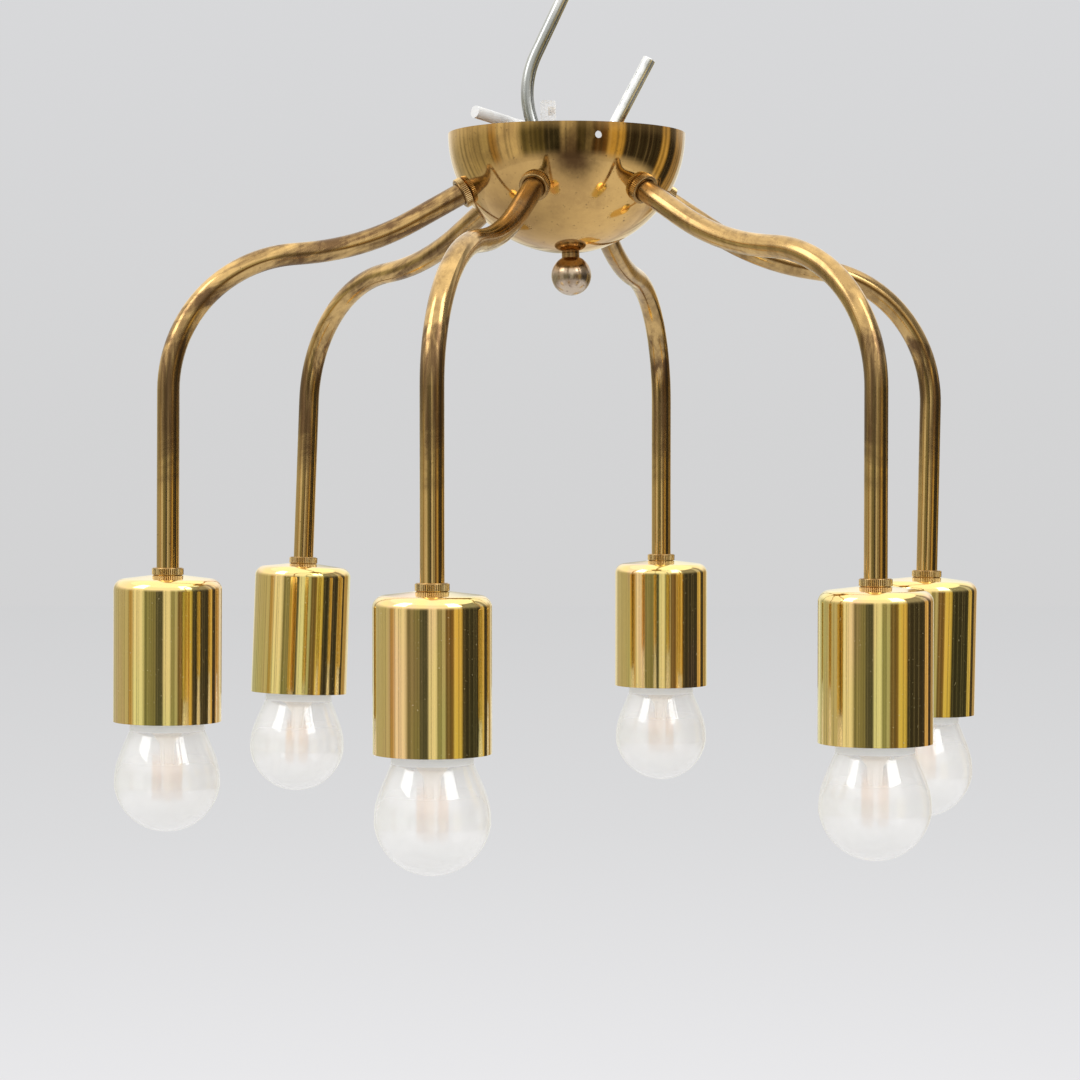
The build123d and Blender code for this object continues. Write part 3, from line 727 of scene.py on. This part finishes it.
filament = new_finish("light_filament")
phosphor = filament.cloud(500.0, 3.0)
facing = filament.node("ShaderNodeLayerWeight", {}, {"Blend": 0.5}, output="Facing")
level = filament.coordinate(2)
glow = filament.step(level, -0.276, -0.297)
soft_side = filament.step(facing, 0.98, 0.2)
soft_foot = filament.step(level, -0.3045, -0.298)
filament.surface(
    Base_Color=filament.mix(phosphor, (0.97, 0.66, 0.38), (0.92, 0.58, 0.30)),
    Roughness=0.5 + 0.2 * phosphor,
    Alpha=soft_side * (0.05 + 0.87 * glow) * soft_foot,
)
STEM_LINE = (
    (0, -0.0688),
    (0.0085, -0.0688),
    (0.0060, -0.0715),
    (0.0034, -0.0750),
    (0.0028, -0.0850),
    (0.0030, -0.0955),
    (0.0020, -0.0975),
    (0, -0.0980),
)
STEM_SEGMENTS = 32
stem_glass = new_finish("stem_glass")
flux = stem_glass.cloud(300.0, 3.0)
stem_glass.surface(
    Base_Color=stem_glass.mix(flux, (0.94, 0.87, 0.78), (0.91, 0.82, 0.71)),
    Roughness=0.35 + 0.2 * flux,
    # Painted glow: a faint emission lifts the stem inside the bulb.
    Emission_Color=stem_glass.mix(flux, (1.0, 0.91, 0.80), (1.0, 0.88, 0.75)),
    Emission_Strength=0.12,
)
bulb_stem = settle(turned(STEM_LINE, STEM_SEGMENTS), "bulb_stem", stem_glass.owner)
rods = Tree("filaments", count=4, ring=0.0046, rod=0.0024, length=0.0270, centre=-0.0868)
rod_line = rods.node(
    "GeometryNodeMeshCircle", {}, {"Vertices": rods.inputs["count"], "Radius": rods.inputs["ring"]}
)
rod = rods.node(
    "GeometryNodeMeshCylinder",
    {},
    {"Vertices": 12, "Radius": rods.inputs["rod"], "Depth": rods.inputs["length"]},
)
rod = rods.node("GeometryNodeSetShadeSmooth", {}, {"Geometry": rod})
around = rods.node("GeometryNodeInputPosition")
rod_turn = rods.node(
    "FunctionNodeAlignRotationToVector", {"axis": "X", "pivot_axis": "Z"}, {"Vector": around}
)
rod_ring = rods.node(
    "GeometryNodeInstanceOnPoints", {}, {"Points": rod_line, "Instance": rod, "Rotation": rod_turn}
)
rod_lift = rods.node("ShaderNodeCombineXYZ", {}, {"Z": rods.inputs["centre"]})
rod_ring = rods.node("GeometryNodeTransform", {}, {"Geometry": rod_ring, "Translation": rod_lift})
rods.finish(rod_ring, filament.owner)
filaments = rods.make("bulb_filaments", bpy.data.meshes.new("filament_seat"))

for number in ARM_NUMBERS:
    for part, mesh, slot, replaced in (
        ("bulb_cap_threaded", threaded_cap, "cap_metal", [f"bulb_cap_{number}"]),
        ("bulb_glass_blown", blown_glass, "opal_glass", [f"bulb_glass_{number}"]),
        ("bulb_stem", bulb_stem, "opal_glass", []),
        ("bulb_filaments", filaments, "opal_glass", []),
    ):
        own = mesh.copy()
        own.transform(head_turn(number))
        new_piece(f"{part}_{number}", own, f"bulb_{number}", slot, *replaced)


# Terminal block: a two-pole strip of clear plastic that joins the cable to the loom.
# It is moulded, a little cloudy inside, and carries slotted clamp screws.
nylon = new_finish("clear_nylon")
cloudy = nylon.cloud(180.0, 4.0)
edge = nylon.node("ShaderNodeLayerWeight", {}, {"Blend": 0.4}, output="Facing")
nylon.surface(
    Base_Color=nylon.mix(cloudy, (0.96, 0.96, 0.96), (0.84, 0.85, 0.85)),
    Roughness=0.1 + 0.15 * cloudy,
    Alpha=0.22 + 0.4 * cloudy + 0.3 * edge,
    # Painted glow: a faint emission brightens the clear plastic.
    Emission_Color=nylon.mix(cloudy, (1.0, 1.0, 1.0), (0.8, 0.82, 0.82)),
    Emission_Strength=0.12,
)
wear(nylon, "terminal_block")


# Studio: a pale floor far below the lamp, an even pale surround and soft lamps above.
# Panels that only reflections see stand round the lamp, light and dark by turns, as in a room.
FLOOR_HEIGHT = -1.25
FLOOR_HALF = 20
FLOOR_TONES = (
    (0.0, (0.650, 0.650, 0.656)),
    (0.45, (0.728, 0.727, 0.735)),
    (1.0, (0.86, 0.855, 0.87)),
)
FAR_NEARNESS = 0.047
NEARNESS_GAIN = 6.5


def level_square(name, half, height):
    """A level square sheet over the middle."""
    mesh = bpy.data.meshes.new(name)
    corners = [(x * half, y * half, height) for x, y in ((-1, -1), (1, -1), (1, 1), (-1, 1))]
    mesh.from_pydata(corners, [], [(0, 1, 2, 3)])
    return mesh


floor_mesh = level_square("floor", FLOOR_HALF, FLOOR_HEIGHT)
floor = bpy.data.objects.new("floor", floor_mesh)
scene.collection.objects.link(floor)
paper = new_finish("floor_paper")
flat = paper.node("ShaderNodeVectorMath", {"operation": "MULTIPLY"}, {0: paper.place(), 1: (1, 1, 0)})
away = paper.node("ShaderNodeVectorMath", {"operation": "LENGTH"}, {0: flat}, output="Value")
nearness = 1.0 / (away - camera.location.y)
floor_tone = paper.node(
    "ShaderNodeValToRGB", {"stops": FLOOR_TONES}, {"Fac": (nearness - FAR_NEARNESS) * NEARNESS_GAIN}
)
matt = paper.node("ShaderNodeBsdfDiffuse", {}, {"Color": (0.8, 0.8, 0.8, 1)})
bright = paper.node("ShaderNodeEmission", {}, {"Color": floor_tone})
paper.show(paper.node("ShaderNodeMixShader", {}, {0: paper.seen_rays() * 0.8, 1: matt, 2: bright}))
floor_mesh.materials.append(paper.owner)

SKY_TONES = (
    (0.0, (0.650, 0.650, 0.656)),
    (0.3, (0.655, 0.656, 0.662)),
    (1.0, (0.685, 0.688, 0.700)),
)
SKY_DIP = 0.05
SKY_GAIN = 4.8
world = bpy.data.worlds.new("surround")
scene.world = world
air = Finish(world)
direction = air.node("ShaderNodeTexCoord", output="Generated")
upward = air.node("ShaderNodeSeparateXYZ", {}, {0: direction}, output=2)
sky = air.node("ShaderNodeValToRGB", {"stops": SKY_TONES}, {"Fac": (upward + SKY_DIP) * SKY_GAIN})
backdrop = air.node("ShaderNodeBackground", {}, {"Color": sky})
fill = air.node("ShaderNodeBackground", {}, {"Color": (0.97, 0.98, 1.0, 1), "Strength": 0.8})
air.show(air.node("ShaderNodeMixShader", {}, {0: air.seen_rays(), 1: fill, 2: backdrop}))

# Lights of the room, and the bands that they make: each ends at an angle from the camera's side
CEILING = (1.25, 1.22, 1.15)
WINDOW = (0.92, 0.91, 0.78)
WALL = (0.54, 0.53, 0.40)
WOOD = (0.50, 0.36, 0.15)
OLIVE = (0.28, 0.28, 0.16)
UMBER = (0.20, 0.12, 0.05)
AMBER = (0.80, 0.60, 0.20)
SHADE = (0.07, 0.075, 0.06)
GLOOM = (0.035, 0.03, 0.025)
BANDS = (
    (-148, WINDOW),
    (-82, WALL),
    (-72, WOOD),
    (-47, WINDOW),
    (-22, OLIVE),
    (-6, SHADE),
    (9, WINDOW),
    (17, OLIVE),
    (24, WALL),
    (40, UMBER),
    (57, AMBER),
    (105, GLOOM),
    (117, AMBER),
    (131, GLOOM),
    (152, WOOD),
    (180, WINDOW),
)
PANEL_RADIUS = 2.3
PANEL_TOP = 1.9
PANEL_EDGE = 1.5
PANEL_SEGMENTS = 180
SKIRTING = (0.70, 0.69, 0.68)
panel_shape = bmesh.new()
bmesh.ops.create_cone(
    panel_shape,
    cap_ends=False,
    segments=PANEL_SEGMENTS,
    radius1=PANEL_RADIUS,
    radius2=PANEL_RADIUS,
    depth=PANEL_TOP - FLOOR_HEIGHT,
    matrix=Matrix.Translation((0, 0, (PANEL_TOP + FLOOR_HEIGHT) / 2)),
)
panel_mesh = bpy.data.meshes.new("room_panels")
panel_shape.to_mesh(panel_mesh)
panel_shape.free()
room = new_finish("room_panels")
across, depth, level = (room.coordinate(axis) for axis in range(3))
bearing = across.math("ARCTAN2", across, depth * -1.0) / (2 * math.pi) + 0.5
stops = []
start = -180
for end, light in BANDS:
    stops.append(((start + PANEL_EDGE + 180) / 360, light))
    stops.append(((end - PANEL_EDGE + 180) / 360, light))
    start = end
panels = room.node("ShaderNodeValToRGB", {"stops": stops}, {"Fac": bearing})
streak = room.node(
    "ShaderNodeTexNoise", {"noise_dimensions": "1D"}, {"W": bearing, "Scale": 90.0, "Detail": 3.0}
)
panels = room.mix(room.step(streak, 0.52, 0.60) * 0.5, panels, SHADE)
panels = room.mix(room.step(streak, 0.42, 0.34) * 0.15, panels, WINDOW)
grey = room.node("ShaderNodeRGBToBW", {}, {0: panels})
panels = room.mix(room.step(level, 0.15, 0.45), panels, grey)
dark_side = room.step(bearing, 0.64, 0.67) * room.step(bearing, 0.88, 0.84)
panels = room.mix(room.step(level, -0.15, 0.75) * (1 - 0.75 * dark_side), panels, CEILING)
panels = room.mix(room.step(level, -0.75, -1.2), panels, SKIRTING)
room.show(room.node("ShaderNodeEmission", {}, {"Color": panels}))
panel_mesh.materials.append(room.owner)
panel_ring = bpy.data.objects.new("room_panels", panel_mesh)


def glowing(name, colour, strength):
    light = new_finish(name)
    light.show(light.node("ShaderNodeEmission", {}, {"Color": (*colour, 1.0), "Strength": strength}))
    return light.owner


def screens(name, material, places):
    """Flat screens round the lamp, each between two bearings and two heights, at a distance."""
    corners = []
    faces = []
    for bearings, heights, distance in places:
        faces.append(tuple(range(len(corners), len(corners) + 4)))
        for side, end in ((0, 0), (1, 0), (1, 1), (0, 1)):
            turn = math.radians(bearings[side])
            corners.append((distance * math.sin(turn), -distance * math.cos(turn), heights[end]))
    mesh = bpy.data.meshes.new(name)
    mesh.from_pydata(corners, [], faces)
    mesh.materials.append(material)
    return bpy.data.objects.new(name, mesh)


SOFTBOX_BEARINGS = ((-78, -50), (30, 58))
SOFTBOX_HEIGHTS = (0.45, 1.9)
SOFTBOX_DISTANCE = 1.5
CEILING_HALF = 2.4
softboxes = screens(
    "softboxes",
    glowing("softbox", (1.0, 0.99, 0.97), 4.5),
    [(bearings, SOFTBOX_HEIGHTS, SOFTBOX_DISTANCE) for bearings in SOFTBOX_BEARINGS],
)
ceiling_mesh = level_square("bright_ceiling", CEILING_HALF, PANEL_TOP)
ceiling_mesh.materials.append(glowing("bright_ceiling", CEILING, 1.2))
ceiling = bpy.data.objects.new("bright_ceiling", ceiling_mesh)
for panel in (panel_ring, softboxes, ceiling):
    scene.collection.objects.link(panel)
    panel.visible_camera = False
    panel.visible_diffuse = False
    panel.visible_transmission = False
    panel.visible_shadow = False

LIT_SPOT = Vector((0, 0, -0.2))
for name, spot, size, power in (
    ("key", (-1.3, -1.4, 1.3), 1.2, 18.0),
    ("fill", (1.5, -1.2, 1.0), 1.2, 12.0),
):
    lamp = bpy.data.lights.new(name, "AREA")
    lamp.size = size
    lamp.energy = power
    lamp_object = bpy.data.objects.new(name, lamp)
    lamp_object.location = spot
    lamp_object.rotation_euler = (LIT_SPOT - Vector(spot)).to_track_quat("-Z", "Y").to_euler()
    lamp_object.visible_glossy = False
    scene.collection.objects.link(lamp_object)
